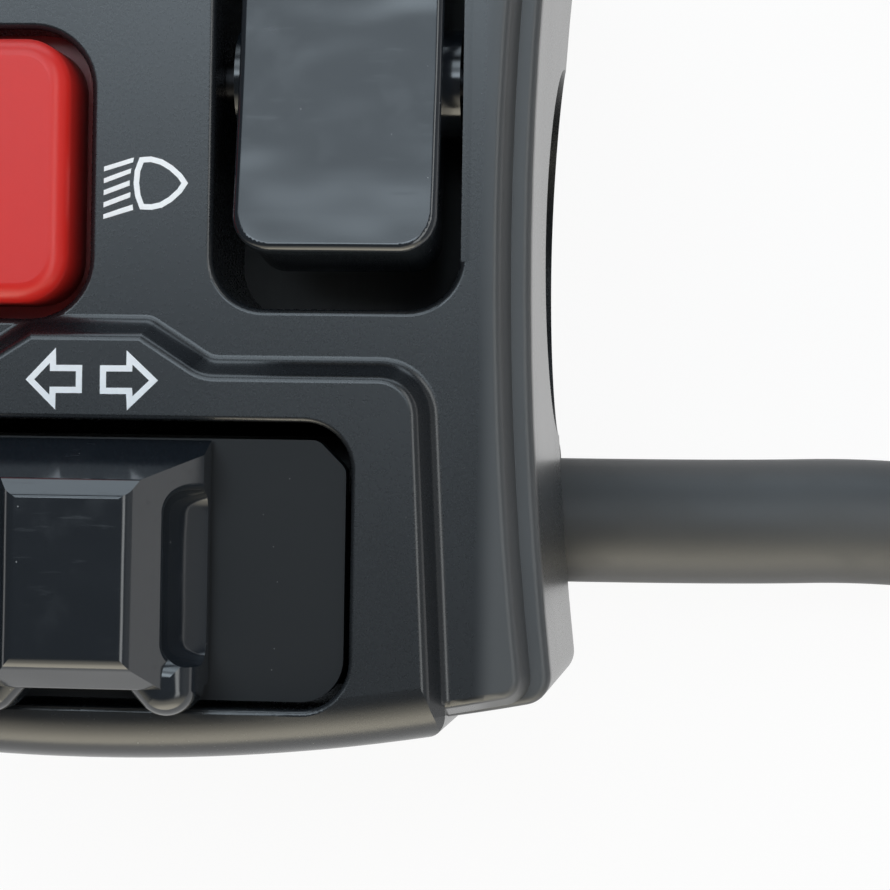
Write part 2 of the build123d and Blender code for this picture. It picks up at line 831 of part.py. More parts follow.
# Rocker, drawn square to its own plane, which leans back so that the lower end stands proud
lean = radians(rocker_tilt)
rocker_plane = Plane(
    (rocker_x, rocker_y, rocker_pivot_z), x_dir=(1, 0, 0), z_dir=(0, sin(lean), cos(lean))
)
rocker_side = Plane(
    (rocker_x, rocker_y, rocker_pivot_z), x_dir=(0, cos(lean), -sin(lean)), z_dir=(1, 0, 0)
)
skirt_width = rocker_width - 2 * rocker_lip
skirt_length = rocker_length - 2 * rocker_lip
dish_radius = ((rocker_length / 2) ** 2 + rocker_dish**2) / (2 * rocker_dish)
hollow_top = rocker_rim_height - rocker_dish - rocker_wall
with BuildPart() as dimmer_rocker:
    with BuildSketch(rocker_plane.offset(-rocker_depth)):
        RectangleRounded(skirt_width, skirt_length, rocker_corner - rocker_lip)
    extrude(amount=rocker_rim_height - rocker_lip_height + rocker_depth)
    with BuildSketch(rocker_plane.offset(rocker_rim_height - rocker_lip_height)):
        RectangleRounded(rocker_width, rocker_length, rocker_corner)
    extrude(amount=rocker_lip_height)
    with BuildSketch(rocker_side):
        with Locations((0, rocker_rim_height - rocker_dish + dish_radius)):
            Circle(dish_radius)
    extrude(amount=rocker_width / 2, both=True, mode=Mode.SUBTRACT)
    dished = faces().filter_by(GeomType.CYLINDER).sort_by(SortBy.RADIUS)[-1]
    fillet(dished.edges(), rocker_edge_round)
    with BuildSketch(rocker_plane.offset(-rocker_depth)):
        span = (skirt_length - rocker_core_length) / 2 - rocker_wall
        for side in (-1, 1):
            with Locations((0, side * (rocker_core_length + span) / 2)):
                RectangleRounded(skirt_width - 2 * rocker_wall, span, rocker_wall / 2)
    extrude(amount=hollow_top + rocker_depth, mode=Mode.SUBTRACT)
    with BuildSketch(rocker_plane.offset(-rocker_core_depth)):
        Rectangle(skirt_width, rocker_core_length)
    extrude(amount=rocker_core_depth)
    with BuildSketch(rocker_side):
        Circle(rocker_hub_radius)
        with Locations((0, -rocker_core_depth)):
            Rectangle(
                2 * rocker_hub_radius,
                rocker_hub_radius,
                align=(Align.CENTER, Align.MAX),
                mode=Mode.SUBTRACT,
            )
    extrude(amount=rocker_hub_half_width, both=True)
    with BuildSketch(rocker_plane.offset(-rocker_core_depth)):
        Circle(plunger_diameter / 2 + plunger_fit)
    extrude(amount=rocker_core_depth + plunger_seat_height, mode=Mode.SUBTRACT)
    with BuildSketch(rocker_side):
        Circle(rocker_pin_diameter / 2 + pin_fit)
    extrude(amount=rocker_hub_half_width, both=True, mode=Mode.SUBTRACT)

dimmer_rocker.part.label = "dimmer_rocker"
export_step(dimmer_rocker.part, "parts/dimmer_rocker.step")

with BuildPart() as rocker_pins:
    for side in (-1, 1):
        outer_x = well_x + side * (well_width / 2 + well_wall)
        inner_x = rocker_x + side * rocker_pin_inner_x
        with BuildSketch(Plane.YZ.offset(min(outer_x, inner_x))):
            with Locations((rocker_y, rocker_pivot_z)):
                Circle(rocker_pin_diameter / 2)
        extrude(amount=abs(outer_x - inner_x))

rocker_pins.part.label = "rocker_pins"
export_step(rocker_pins.part, "parts/rocker_pins.step")

with BuildPart() as rocker_plunger:
    with BuildSketch(rocker_plane.offset(-plunger_centre_depth)):
        Circle(plunger_diameter / 2)
    extrude(amount=plunger_length)
    with Locations(rocker_plane.offset(-plunger_centre_depth)):
        Sphere(plunger_diameter / 2)

rocker_plunger.part.label = "rocker_plunger"
export_step(rocker_plunger.part, "parts/rocker_plunger.step")

plunger_top = plunger_length - plunger_centre_depth
plunger_spring = spring(
    rocker_plane.offset(plunger_top + seat_gap),
    plunger_spring_diameter,
    plunger_spring_wire,
    plunger_spring_turns,
    plunger_seat_height - plunger_top - 2 * seat_gap,
)
plunger_spring.label = "plunger_spring"
export_step(plunger_spring, "parts/plunger_spring.step")

# See-saw contact, tipped the other way, on the edge of the middle terminal
tip = radians(seesaw_tilt)
seesaw_plane = Plane(
    (rocker_x, rocker_y, seesaw_under_z), x_dir=(1, 0, 0), z_dir=(0, -sin(tip), cos(tip))
)
with BuildPart() as dimmer_contact:
    with BuildSketch(seesaw_plane):
        Rectangle(seesaw_width, seesaw_length)
    extrude(amount=seesaw_thickness)

dimmer_contact.part.label = "dimmer_contact"
export_step(dimmer_contact.part, "parts/dimmer_contact.step")

terminal_span = seesaw_length - terminal_length
side_terminal_top_z = seesaw_under_z - sin(tip) * seesaw_length / 2 - contact_play
with BuildPart() as dimmer_base:
    with BuildSketch(Plane.XY.offset(dimmer_base_z)):
        with Locations((well_x, dimmer_base_upper_y)):
            Rectangle(
                well_width + 2 * (well_wall - dimmer_base_side_gap),
                dimmer_base_upper_y - well_lower_y + well_wall,
                align=(Align.CENTER, Align.MAX),
            )
        for x, y in dimmer_screws:
            middle_x = max(x, well_x - well_width / 2)
            middle_y = max(y, well_lower_y)
            with Locations(((x + middle_x) / 2, (y + middle_y) / 2)):
                Rectangle(
                    max(middle_x - x, 2 * base_tab_radius), max(middle_y - y, 2 * base_tab_radius)
                )
            with Locations((x, y)):
                Circle(base_boss_radius)
    extrude(amount=dimmer_base_thickness)
    with Locations(*[(x, y, dimmer_base_z) for x, y in dimmer_screws]):
        Cylinder(
            base_screw_diameter / 2 + pin_fit,
            dimmer_base_thickness,
            align=(Align.CENTER, Align.CENTER, Align.MIN),
            mode=Mode.SUBTRACT,
        )
        Cylinder(
            base_head_diameter / 2 + seat_gap,
            base_head_height,
            align=(Align.CENTER, Align.CENTER, Align.MIN),
            mode=Mode.SUBTRACT,
        )
    with Locations((rocker_x, rocker_y, dimmer_base_z)):
        with GridLocations(0, terminal_span / 2, 1, 3):
            Box(
                seesaw_width,
                terminal_length,
                dimmer_base_thickness,
                align=(Align.CENTER, Align.CENTER, Align.MIN),
                mode=Mode.SUBTRACT,
            )

dimmer_base.part.label = "dimmer_base"
export_step(dimmer_base.part, "parts/dimmer_base.step")

with BuildPart() as dimmer_terminals:
    with Locations((rocker_x, rocker_y, dimmer_base_z)):
        with GridLocations(0, terminal_span, 1, 2):
            Box(
                seesaw_width,
                terminal_length,
                side_terminal_top_z - dimmer_base_z,
                align=(Align.CENTER, Align.CENTER, Align.MIN),
            )
        Box(
            seesaw_width,
            terminal_length,
            dimmer_base_thickness,
            align=(Align.CENTER, Align.CENTER, Align.MIN),
        )
    with BuildSketch(Plane.YZ.offset(rocker_x)):
        with Locations((rocker_y, dimmer_base_top_z)):
            Triangle(
                a=terminal_length,
                b=hypot(terminal_length / 2, dimmer_base_drop - seat_gap),
                c=hypot(terminal_length / 2, dimmer_base_drop - seat_gap),
                align=(Align.CENTER, Align.MIN),
            )
    extrude(amount=seesaw_width / 2, both=True)
    tail_y = rocker_y + terminal_span / 2
    with Locations((rocker_x, rocker_y, dimmer_base_z), (rocker_x, tail_y, dimmer_base_z)):
        Box(
            terminal_length,
            terminal_length / 2,
            terminal_tail,
            align=(Align.CENTER, Align.CENTER, Align.MAX),
        )

dimmer_terminals.part.label = "dimmer_terminals"
export_step(dimmer_terminals.part, "parts/dimmer_terminals.step")

# Inset plate: clipped upper corners, an opening for the stem, a click track and two legs
plate_upper_y = slot_upper_y - plate_upper_gap
plate_lower_y = slot_lower_y + plate_lower_gap
plate_width = slot_width - 2 * plate_side_gap
plate_y = (plate_upper_y + plate_lower_y) / 2
ball_x = knob_x + ball_offset_x
with BuildPart() as turn_plate:
    with BuildSketch(Plane.XY.offset(plate_under_z)) as plate_shape:
        with Locations((slot_x, plate_y)):
            Rectangle(plate_width, plate_upper_y - plate_lower_y)
        fillet(plate_shape.vertices().group_by(Axis.Y)[0], plate_corner)
        chamfer(plate_shape.vertices().group_by(Axis.Y)[-1], plate_chamfer)
        clipped = plate_shape.vertices().filter_by_position(
            Axis.Y, plate_upper_y - plate_chamfer - reach, plate_upper_y + reach
        )
        fillet(clipped, plate_clip_round)
    extrude(amount=plate_thickness)
    with BuildSketch(Plane.XY.offset(plate_under_z)):
        with Locations((knob_x, stem_y)):
            Rectangle(stem_width + 2 * (turn_travel + slide_gap), stem_height + 2 * slide_gap)
    extrude(amount=plate_thickness, mode=Mode.SUBTRACT)
    with Locations((ball_x, ball_y, ball_z)):
        Cylinder(
            ball_diameter / 2 + ball_clear,
            2 * turn_travel,
            rotation=(0, 90, 0),
            mode=Mode.SUBTRACT,
        )
        with GridLocations(turn_travel, 0, 3, 1):
            Sphere(ball_diameter / 2 + ball_clear + ball_notch, mode=Mode.SUBTRACT)
    with BuildSketch(Plane.XY.offset(turn_base_top_z)):
        with Locations((slot_x, plate_y)):
            with GridLocations(plate_width - plate_leg_thickness, 0, 2, 1):
                Rectangle(plate_leg_thickness, plate_leg_length)
    extrude(amount=plate_under_z - turn_base_top_z)

turn_plate.part.label = "turn_plate"
export_step(turn_plate.part, "parts/turn_plate.step")

# Cutter for the thumb scoops: a round bar with softened ends
with BuildPart() as scoop_tool:
    with BuildSketch(Plane.XZ.offset(-scoop_upper_y)):
        with Locations((knob_x - scoop_x, scoop_z), (knob_x + scoop_x, scoop_z)):
            Circle(scoop_radius)
    extrude(amount=scoop_upper_y - scoop_lower_y)
    fillet(edges().filter_by(GeomType.CIRCLE), scoop_end_round)

# The lobes, which are rounded on their own before they join the knob
with BuildPart() as knob_lobes:
    with BuildSketch(Plane.XY.offset(lobe_under_z)):
        for side in (-1, 1):
            with BuildLine():
                Polyline(
                    (knob_x + side * knob_half_width, lobe_side_y),
                    (knob_x + side * knob_half_width, lobe_upper_y),
                    (knob_x + side * lobe_inner_x, lobe_upper_y),
                    (knob_x + side * lobe_inner_x, knob_lower_y - knob_chin_run),
                    (knob_x + side * lobe_slant_x, lobe_slant_y),
                )
                ThreePointArc(
                    (knob_x + side * lobe_slant_x, lobe_slant_y),
                    (knob_x + side * lobe_middle_x, lobe_lower_y),
                    (knob_x + side * knob_half_width, lobe_side_y),
                )
            make_face()
    extrude(amount=lobe_top_z - lobe_under_z)
    fillet(edges().group_by(Axis.Z)[-1], lobe_round)

with BuildPart() as turn_knob:
    with BuildSketch(Plane.XZ.offset(-knob_upper_y)):
        with BuildLine():
            Polyline(
                (knob_x - knob_half_width, knob_base_z),
                (knob_x + knob_half_width, knob_base_z),
                (knob_x + knob_half_width, knob_base_z + knob_skirt_height),
                (knob_x + knob_shoulder_half_width, knob_shoulder_z),
                (knob_x + knob_front_half_width, knob_top_z),
                (knob_x - knob_front_half_width, knob_top_z),
                (knob_x - knob_shoulder_half_width, knob_shoulder_z),
                (knob_x - knob_half_width, knob_base_z + knob_skirt_height),
                close=True,
            )
        make_face()
        fillet(vertices().group_by(Axis.Y)[-1], knob_edge_round)
        fillet(
            vertices().filter_by_position(
                Axis.Y, knob_shoulder_z - reach, knob_shoulder_z + reach
            ),
            knob_shoulder_round,
        )
    extrude(amount=knob_upper_y - knob_lower_y + knob_chin_run)
    with BuildSketch(Plane.YZ.offset(knob_x - knob_half_width)):
        with BuildLine():
            Polyline(
                (knob_upper_y, knob_base_z),
                (knob_front_upper_y + knob_bevel_run, knob_top_z - knob_bevel_drop),
                (knob_front_upper_y, knob_top_z),
                (knob_front_lower_y, knob_top_z),
                (knob_lower_y - knob_chin_run, knob_top_z - knob_chin_drop),
                (knob_lower_y, knob_base_z),
                close=True,
            )
        make_face()
        for corner_y, corner_z, corner_round in (
            (knob_front_upper_y + knob_bevel_run, knob_top_z - knob_bevel_drop, knob_bevel_round),
            (knob_front_upper_y, knob_top_z, knob_bevel_round),
            (knob_front_lower_y, knob_top_z, knob_chin_round),
            (knob_lower_y - knob_chin_run, knob_top_z - knob_chin_drop, knob_chin_round),
        ):
            corner = vertices().sort_by_distance((corner_y, corner_z, 0))[0]
            fillet(corner, corner_round)
    extrude(amount=2 * knob_half_width, mode=Mode.INTERSECT)
    add(knob_lobes.part)
    add(scoop_tool.part, mode=Mode.SUBTRACT)
    rim_length = scoop_upper_y - scoop_lower_y - 2 * scoop_end_round
    rims = edges().filter_by(lambda rim: abs(rim.length - rim_length) < reach)
    fillet(rims.filter_by(lambda rim: rim.center().Z > scoop_z), scoop_rim_round)
    with BuildSketch(Plane.XY.offset(carriage_top_z)):
        with Locations((knob_x, stem_y)):
            Rectangle(stem_width, stem_height)
    extrude(amount=knob_base_z - carriage_top_z)
    with Locations((knob_x, stem_y, carriage_top_z)):
        Cylinder(
            knob_screw_diameter / 2 + pin_fit,
            knob_screw_reach - carriage_top_z + carriage_z + knob_head_recess,
            align=(Align.CENTER, Align.CENTER, Align.MIN),
            mode=Mode.SUBTRACT,
        )

turn_knob.part.label = "turn_knob"
export_step(turn_knob.part, "parts/turn_knob.step")

# Slider under the plate
contact_length = 2 * (dome_offset + dome_radius)
with BuildPart() as turn_carriage:
    with BuildSketch(Plane.XY.offset(carriage_z)):
        with Locations((knob_x, (carriage_upper_y + carriage_lower_y) / 2)):
            Rectangle(carriage_width, carriage_upper_y - carriage_lower_y)
    extrude(amount=carriage_top_z - carriage_z)
    with Locations((ball_x, ball_y, carriage_top_z)):
        Cylinder(
            ball_diameter / 2 + ball_pocket_gap,
            carriage_top_z - ball_z + ball_diameter / 2 + ball_spring_space,
            align=(Align.CENTER, Align.CENTER, Align.MAX),
            mode=Mode.SUBTRACT,
        )
    with Locations((knob_x, turn_contact_y, carriage_z)):
        Box(
            contact_length + 2 * seat_gap,
            turn_contact_width + 2 * seat_gap,
            turn_contact_recess,
            align=(Align.CENTER, Align.CENTER, Align.MIN),
            mode=Mode.SUBTRACT,
        )
    with Locations((knob_x, stem_y, carriage_z)):
        Cylinder(
            knob_head_diameter / 2 + seat_gap,
            knob_head_recess,
            align=(Align.CENTER, Align.CENTER, Align.MIN),
            mode=Mode.SUBTRACT,
        )
        Cylinder(
            knob_screw_diameter / 2 + pin_fit,
            carriage_top_z - carriage_z,
            align=(Align.CENTER, Align.CENTER, Align.MIN),
            mode=Mode.SUBTRACT,
        )

turn_carriage.part.label = "turn_carriage"
export_step(turn_carriage.part, "parts/turn_carriage.step")

with BuildPart() as knob_screw:
    with Locations((knob_x, stem_y)):
        cross_screw(
            carriage_z + knob_head_recess,
            knob_screw_diameter,
            knob_screw_reach - seat_gap,
            knob_head_diameter,
            knob_head_height,
        )

knob_screw.part.label = "knob_screw"
export_step(knob_screw.part, "parts/knob_screw.step")

with BuildPart() as detent_ball:
    with Locations((ball_x, ball_y, ball_z)):
        Sphere(ball_diameter / 2)

detent_ball.part.label = "detent_ball"
export_step(detent_ball.part, "parts/detent_ball.step")

detent_spring = spring(
    Plane((ball_x, ball_y, ball_z - ball_diameter / 2 - ball_spring_space + seat_gap)),
    ball_spring_diameter,
    ball_spring_wire,
    ball_spring_turns,
    ball_spring_space,
)
detent_spring.label = "detent_spring"
export_step(detent_spring, "parts/detent_spring.step")

with BuildPart() as turn_contact:
    with Locations((knob_x, turn_contact_y, carriage_z + turn_contact_recess)):
        Box(
            contact_length,
            turn_contact_width,
            turn_contact_thickness,
            align=(Align.CENTER, Align.CENTER, Align.MAX),
        )
    dome_z = turn_base_top_z + contact_play + dome_radius
    with Locations((knob_x, turn_contact_y, dome_z)):
        with GridLocations(2 * dome_offset, 0, 2, 1):
            Sphere(dome_radius, arc_size2=0, align=(Align.CENTER, Align.CENTER, Align.MAX))

turn_contact.part.label = "turn_contact"
export_step(turn_contact.part, "parts/turn_contact.step")

# Base board with three strips let into its top
strip_pitch = turn_travel + dome_offset
strip_y = (turn_strip_upper_y + turn_base_lower_y) / 2
with BuildPart() as turn_base:
    with BuildSketch(Plane.XY.offset(turn_base_z)):
        with Locations((slot_x, (turn_base_upper_y + turn_base_lower_y) / 2)):
            Rectangle(turn_base_width, turn_base_upper_y - turn_base_lower_y)
    extrude(amount=turn_base_thickness)
    with Locations(*[(x, y, turn_base_z) for x, y in turn_screws]):
        Cylinder(
            base_screw_diameter / 2 + pin_fit,
            turn_base_thickness,
            align=(Align.CENTER, Align.CENTER, Align.MIN),
            mode=Mode.SUBTRACT,
        )
        Cylinder(
            base_head_diameter / 2 + seat_gap,
            base_head_height,
            align=(Align.CENTER, Align.CENTER, Align.MIN),
            mode=Mode.SUBTRACT,
        )
    with Locations((knob_x, strip_y, turn_base_top_z)):
        with GridLocations(strip_pitch, 0, 3, 1):
            Box(
                turn_strip_width,
                turn_strip_upper_y - turn_base_lower_y,
                turn_strip_thickness,
                align=(Align.CENTER, Align.CENTER, Align.MAX),
                mode=Mode.SUBTRACT,
            )
    with Locations((knob_x, turn_strip_upper_y - turn_strip_width / 2, turn_base_z)):
        with GridLocations(strip_pitch, 0, 3, 1):
            Box(
                turn_strip_width / 2,
                turn_strip_width / 2,
                turn_base_thickness,
                align=(Align.CENTER, Align.CENTER, Align.MIN),
                mode=Mode.SUBTRACT,
            )

turn_base.part.label = "turn_base"
export_step(turn_base.part, "parts/turn_base.step")

with BuildPart() as turn_terminals:
    with Locations((knob_x, strip_y, turn_base_top_z)):
        with GridLocations(strip_pitch, 0, 3, 1):
            Box(
                turn_strip_width,
                turn_strip_upper_y - turn_base_lower_y,
                turn_strip_thickness,
                align=(Align.CENTER, Align.CENTER, Align.MAX),
            )
    with Locations((knob_x, turn_strip_upper_y - turn_strip_width / 2, turn_base_top_z)):
        with GridLocations(strip_pitch, 0, 3, 1):
            Box(
                turn_strip_width / 2,
                turn_strip_width / 2,
                turn_base_thickness + terminal_tail,
                align=(Align.CENTER, Align.CENTER, Align.MAX),
            )

turn_terminals.part.label = "turn_terminals"
export_step(turn_terminals.part, "parts/turn_terminals.step")

# Small screws, heads let into the undersides of the three plates
with BuildPart() as base_screws:
    for places, under_z in (
        (button_screws, button_base_z),
        (dimmer_screws, dimmer_base_z),
        (turn_screws, turn_base_z),
    ):
        with Locations(*places):
            cross_screw(
                under_z + base_head_height,
                base_screw_diameter,
                base_screw_length,
                base_head_diameter,
                base_head_height,
            )

base_screws.part.label = "base_screws"
export_step(base_screws.part, "parts/base_screws.step")

# Cable end inside the housing, its tie and the grommet in the wall
with BuildPart() as cable_inner_end:
    with BuildSketch(Plane.YZ.offset(cable_inner_x)):
        with Locations((cable_y, cable_z)):
            Circle(cable_diameter / 2)
    extrude(amount=cable_exit_x - cable_inner_x)

cable_inner_end.part.label = "cable_inner_end"
export_step(cable_inner_end.part, "parts/cable_inner_end.step")

with BuildPart() as cable_tie:
    with BuildSketch(Plane.YZ.offset(tie_x)):
        with Locations((cable_y, cable_z)):
            Circle(cable_diameter / 2 + seat_gap + tie_thickness)
            Circle(cable_diameter / 2 + seat_gap, mode=Mode.SUBTRACT)
    extrude(amount=tie_width)
    with Locations((tie_x + tie_width / 2, cable_y, cable_z - cable_diameter / 2 - tie_thickness)):
        Box(
            tie_head_size,
            tie_head_size,
            tie_head_height,
            align=(Align.CENTER, Align.CENTER, Align.MAX),
        )

cable_tie.part.label = "cable_tie"
export_step(cable_tie.part, "parts/cable_tie.step")

with BuildPart() as cable_grommet:
    with BuildSketch(Plane.YZ.offset(flange_outer_x)):
        with Locations((cable_y, cable_z)):
            Circle(cable_diameter / 2 + grommet_wall)
    extrude(amount=cable_exit_x - flange_outer_x)
    with BuildSketch(Plane.YZ.offset(flange_outer_x)):
        with Locations((cable_y, cable_z)):
            Circle(cable_diameter / 2 + grommet_flange + grommet_wall)
        Circle(tunnel_radius + flange_clear, mode=Mode.SUBTRACT)
    extrude(amount=-grommet_flange_thickness)
    with BuildSketch(Plane.YZ.offset(cable_exit_x)):
        with Locations((cable_y, cable_z)):
            Circle(cable_diameter / 2 + seat_gap)
    extrude(amount=flange_outer_x - cable_exit_x - grommet_flange_thickness, mode=Mode.SUBTRACT)

cable_grommet.part.label = "cable_grommet"
export_step(cable_grommet.part, "parts/cable_grommet.step")

# Free cable: straight runs joined by arcs as large as the runs allow
points = [Vector(*point) for point in cable_route]
radii = []
for before, corner, after in zip(points, points[1:], points[2:]):
    shorter = min((corner - before).length, (after - corner).length)
    turn = radians((corner - before).get_angle(after - corner))
    radii.append(0.45 * shorter / tan(turn / 2))
print("cable arc radii", [round(radius, 1) for radius in radii])
with BuildPart() as cable_sheath:
    with BuildLine() as free_path:
        FilletPolyline(*points, radius=radii)
    with BuildSketch(Plane(points[0], z_dir=free_path.line % 0)):
        Circle(cable_diameter / 2)
    sweep()
free_length = free_path.wire().length
section = pi * (cable_diameter / 2) ** 2
print("free cable", round(free_length, 1))
print("volume over section times length", cable_sheath.part.volume / section / free_length)

cable_sheath.part.label = "cable_sheath"
export_step(cable_sheath.part, "parts/cable_sheath.step")

# Coil: two half turns that spiral in, then a part turn towards the middle
half_step = (cable_diameter + coil_gap) / 2
inner_radius = coil_radius - half_step
inner_y = coil_start_y + 2 * coil_radius - inner_radius
coil_tail_y = inner_y - inner_radius + coil_tail_radius
with BuildPart() as cable_coil:
    with BuildLine(Plane.XY.offset(cable_floor_z)) as coil_path:
        CenterArc((coil_start_x, coil_start_y + coil_radius), coil_radius, -90, 180)
        CenterArc((coil_start_x, inner_y), inner_radius, 90, 180)
        tail = CenterArc((coil_start_x, coil_tail_y), coil_tail_radius, -90, coil_tail_turn)
        Line(tail @ 1, (tail @ 1) + (tail % 1) * cable_diameter)
    with BuildSketch(Plane(coil_path.line @ 0, z_dir=coil_path.line % 0)):
        Circle(cable_diameter / 2)
    sweep()
coil_wire = coil_path.wire()
print("coiled cable", round(coil_wire.length, 1))
print("least gap between turns", round(least_gap(coil_wire, cable_diameter), 2))

cable_coil.part.label = "cable_coil"
export_step(cable_coil.part, "parts/cable_coil.step")

# Connector at the far end, lying on the same surface as the coil
plug_start = coil_wire @ 1
plug_heading = coil_wire % 1
plug_plane = Plane(plug_start, x_dir=(0, 0, 1), z_dir=plug_heading)
boot_lift = boot_radius - cable_diameter / 2
plug_lift = connector_height / 2 - cable_diameter / 2
with BuildPart() as connector_boot:
    with BuildSketch(plug_plane):
        Circle(cable_diameter / 2)
    with BuildSketch(plug_plane.offset(boot_length)):
        with Locations((boot_lift, 0)):
            Circle(boot_radius)
    loft()

connector_boot.part.label = "connector_boot"
export_step(connector_boot.part, "parts/connector_boot.step")

with BuildPart() as connector_housing:
    with BuildSketch(plug_plane.offset(boot_length)):
        with Locations((plug_lift, 0)):
            RectangleRounded(connector_height, connector_width, connector_corner)
    extrude(amount=connector_length)
    with BuildSketch(plug_plane.offset(boot_length + connector_length)):
        with Locations((plug_lift, 0)):
            RectangleRounded(
                connector_height - 2 * connector_wall,
                connector_width - 2 * connector_wall,
                connector_corner / 2,
            )
    extrude(amount=-connector_cavity_depth, mode=Mode.SUBTRACT)
    with BuildSketch(plug_plane.offset(boot_length + connector_length)):
        with Locations((plug_lift + connector_height / 2, 0)):
            Rectangle(latch_height, latch_width, align=(Align.MIN, Align.CENTER))
    extrude(amount=-latch_length)

connector_housing.part.label = "connector_housing"
export_step(connector_housing.part, "parts/connector_housing.step")

with BuildPart() as connector_pins:
    cavity_floor = boot_length + connector_length - connector_cavity_depth
    with BuildSketch(plug_plane.offset(cavity_floor)):
        with Locations((plug_lift, 0)):
            with GridLocations(pin_pitch, pin_pitch, pin_rows, pin_columns):
                Circle(pin_diameter / 2)
    extrude(amount=pin_length)

connector_pins.part.label = "connector_pins"
export_step(connector_pins.part, "parts/connector_pins.step")
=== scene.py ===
# %% [markdown]
# # A handlebar switch cluster
# The part lies on its flat back on a white table, and the camera looks down on its face. The
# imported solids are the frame: every size and place comes from them. This script adds what they
# don't have, which is their finishes, the painted signs, the cable's smooth line and the light.

# %% Frame
import bpy
import bmesh
from math import cos, radians, sin
from mathutils import Matrix, Vector


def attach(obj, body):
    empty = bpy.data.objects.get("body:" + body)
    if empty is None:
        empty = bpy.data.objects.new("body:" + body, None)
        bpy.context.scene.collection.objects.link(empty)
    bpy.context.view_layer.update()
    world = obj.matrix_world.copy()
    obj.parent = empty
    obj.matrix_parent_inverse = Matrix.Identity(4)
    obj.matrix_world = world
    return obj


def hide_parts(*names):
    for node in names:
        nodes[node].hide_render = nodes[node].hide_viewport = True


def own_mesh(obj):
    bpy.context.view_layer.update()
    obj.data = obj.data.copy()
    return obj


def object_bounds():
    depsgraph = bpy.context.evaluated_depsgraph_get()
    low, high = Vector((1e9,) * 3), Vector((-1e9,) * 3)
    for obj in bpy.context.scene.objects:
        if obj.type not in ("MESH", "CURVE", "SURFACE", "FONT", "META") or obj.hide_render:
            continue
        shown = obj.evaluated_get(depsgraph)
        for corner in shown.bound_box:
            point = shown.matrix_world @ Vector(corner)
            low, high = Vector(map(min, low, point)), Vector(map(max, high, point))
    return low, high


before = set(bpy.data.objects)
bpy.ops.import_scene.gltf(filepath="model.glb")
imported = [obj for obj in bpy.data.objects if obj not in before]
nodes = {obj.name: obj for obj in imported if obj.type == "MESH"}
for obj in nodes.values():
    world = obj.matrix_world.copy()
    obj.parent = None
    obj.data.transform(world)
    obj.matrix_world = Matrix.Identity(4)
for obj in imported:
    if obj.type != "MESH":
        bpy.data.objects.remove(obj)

cad_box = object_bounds()
scene = bpy.context.scene
scene.view_settings.view_transform = "Standard"
print("solids from", [round(v, 4) for v in cad_box[0]], "to", [round(v, 4) for v in cad_box[1]])

# %% [markdown]
# ## Camera
# The photograph is a close view, so perspective matters: the right-hand side wall shows although
# the face is seen almost square on. A camera 157 mm from the face and a little to the right of it
# gives that. Its roll turns the picture by nine tenths of a degree.

# %% Camera
camera_at = Vector((0.03365, -0.0130, 0.1820))
camera_to = Vector((0.018368, -0.0120, 0.0260))
camera_roll = radians(0.9)
focal_length_mm, sensor_width_mm = 120.47, 36
nearest_seen = 0.01

ahead = (camera_to - camera_at).normalized()
level = ahead.cross(Vector((0, 1, 0))).normalized()
upright = level.cross(ahead)
right = level * cos(camera_roll) + upright * sin(camera_roll)
above = upright * cos(camera_roll) - level * sin(camera_roll)

lens = bpy.data.cameras.new("close_view")
lens.lens, lens.sensor_width = focal_length_mm, sensor_width_mm
lens.clip_start = nearest_seen
camera = bpy.data.objects.new("camera", lens)
camera.matrix_world = (
    Matrix.Translation(camera_at) @ Matrix((right, above, -ahead)).transposed().to_4x4()
)
scene.collection.objects.link(camera)
scene.camera = camera
print("camera", round((camera_to - camera_at).length * 1000, 1), "mm from the face")

# %% [markdown]
# ## Cable
# The cable leaves through a grommet low in the side wall, sinks to the table and lies in a coil.
# A tube with arcs between straight runs would look like bent wire, so the line is one smooth
# spline: the route's points first, then the points of the coil's turns, which sit just outside
# each arc because such a spline runs inside its corners.

# %% Cable route
cable_diameter = 0.0079
lying_z = -0.01405
free_points = [
    (0.0223, -0.01645, -0.0085),
    (0.0330, -0.01645, -0.0085),
    (0.0430, -0.0161, -0.0096),
    (0.0530, -0.0173, -0.0116),
    (0.0630, -0.0203, -0.0133),
    (0.0730, -0.0231, lying_z),
    (0.0820, -0.0240, lying_z),
]
coil_x = 0.090
point_step = 15
# Each turn's middle y, radius, first angle and number of points
turns = [(0.020, 0.044, -90, 12), (0.0242, 0.0398, 90, 12), (0.0114, 0.027, -90, 10)]


def on_turn(middle_y, radius, degrees):
    """A point of the coil, lying on the table."""
    angle = radians(degrees)
    return Vector((coil_x + radius * cos(angle), middle_y + radius * sin(angle), lying_z))


coil_points = []
for middle_y, radius, first, count in turns:
    outside = radius / cos(radians(point_step / 2))
    for i in range(count):
        coil_points.append(on_turn(middle_y, outside, first + (i + 0.5) * point_step))
last = first + count * point_step
heading = Vector((-sin(radians(last)), cos(radians(last)), 0))
coil_points.append(on_turn(middle_y, radius, last) + heading * cable_diameter)
route = free_points + coil_points
print("cable route with", len(route), "points")

# %% Cable
curve = bpy.data.curves.new("cable", "CURVE")
curve.dimensions = "3D"
line = curve.splines.new("NURBS")
line.points.add(len(route) - 1)
for spot, place in zip(line.points, route):
    spot.co = (*place, 1)
    spot.radius = cable_diameter / 2
line.order_u = 3
line.use_endpoint_u = True
line.resolution_u = 10
curve.bevel_depth = 1.0
curve.bevel_resolution = 10
curve.use_fill_caps = True
cable = bpy.data.objects.new("cable", curve)
scene.collection.objects.link(cable)
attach(cable, "housing")
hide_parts("cable_sheath", "cable_coil")

# %% [markdown]
# ## A short way to write shader maths
# Node trees are easier to read as sums. A Signal is one output socket, and adding or multiplying
# signals adds the Math nodes. A Tree adds any other node with its settings and inputs. The light
# and the table use it as it is, and a Finish is a Tree that fills one material.

